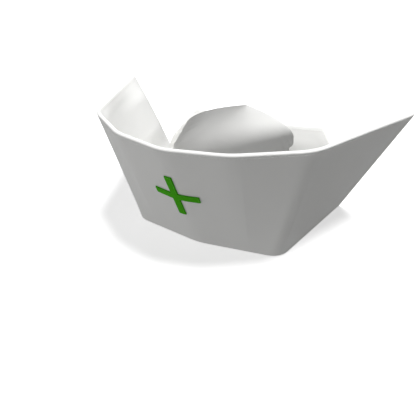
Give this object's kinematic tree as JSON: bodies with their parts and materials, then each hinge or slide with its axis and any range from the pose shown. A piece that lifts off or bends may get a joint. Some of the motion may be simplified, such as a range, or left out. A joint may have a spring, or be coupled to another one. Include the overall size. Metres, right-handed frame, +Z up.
{
  "type": "nurse cap",
  "caption": "Folded white nurse cap with a wide outward-leaning cuff, standing wings, a puffed crown, an upright back flap and a plain green cross.",
  "frame": {"origin": "centre of the bounding box, on the surface the cap stands on", "axes": "+X to the wearer's left, across the wings; +Y from the front to the back; +Z up"},
  "size_m": [0.28, 0.1732, 0.1037],
  "materials": {
    "starched_cotton": "crisp plain weave, starched and pressed, matt",
    "green_cotton": "plain green cotton appliqué, matt"
  },
  "bodies": {
    "root": {"cuff": "starched_cotton", "crown": "starched_cotton", "back_flap": "starched_cotton", "cross": "green_cotton"}
  },
  "joints": []
}
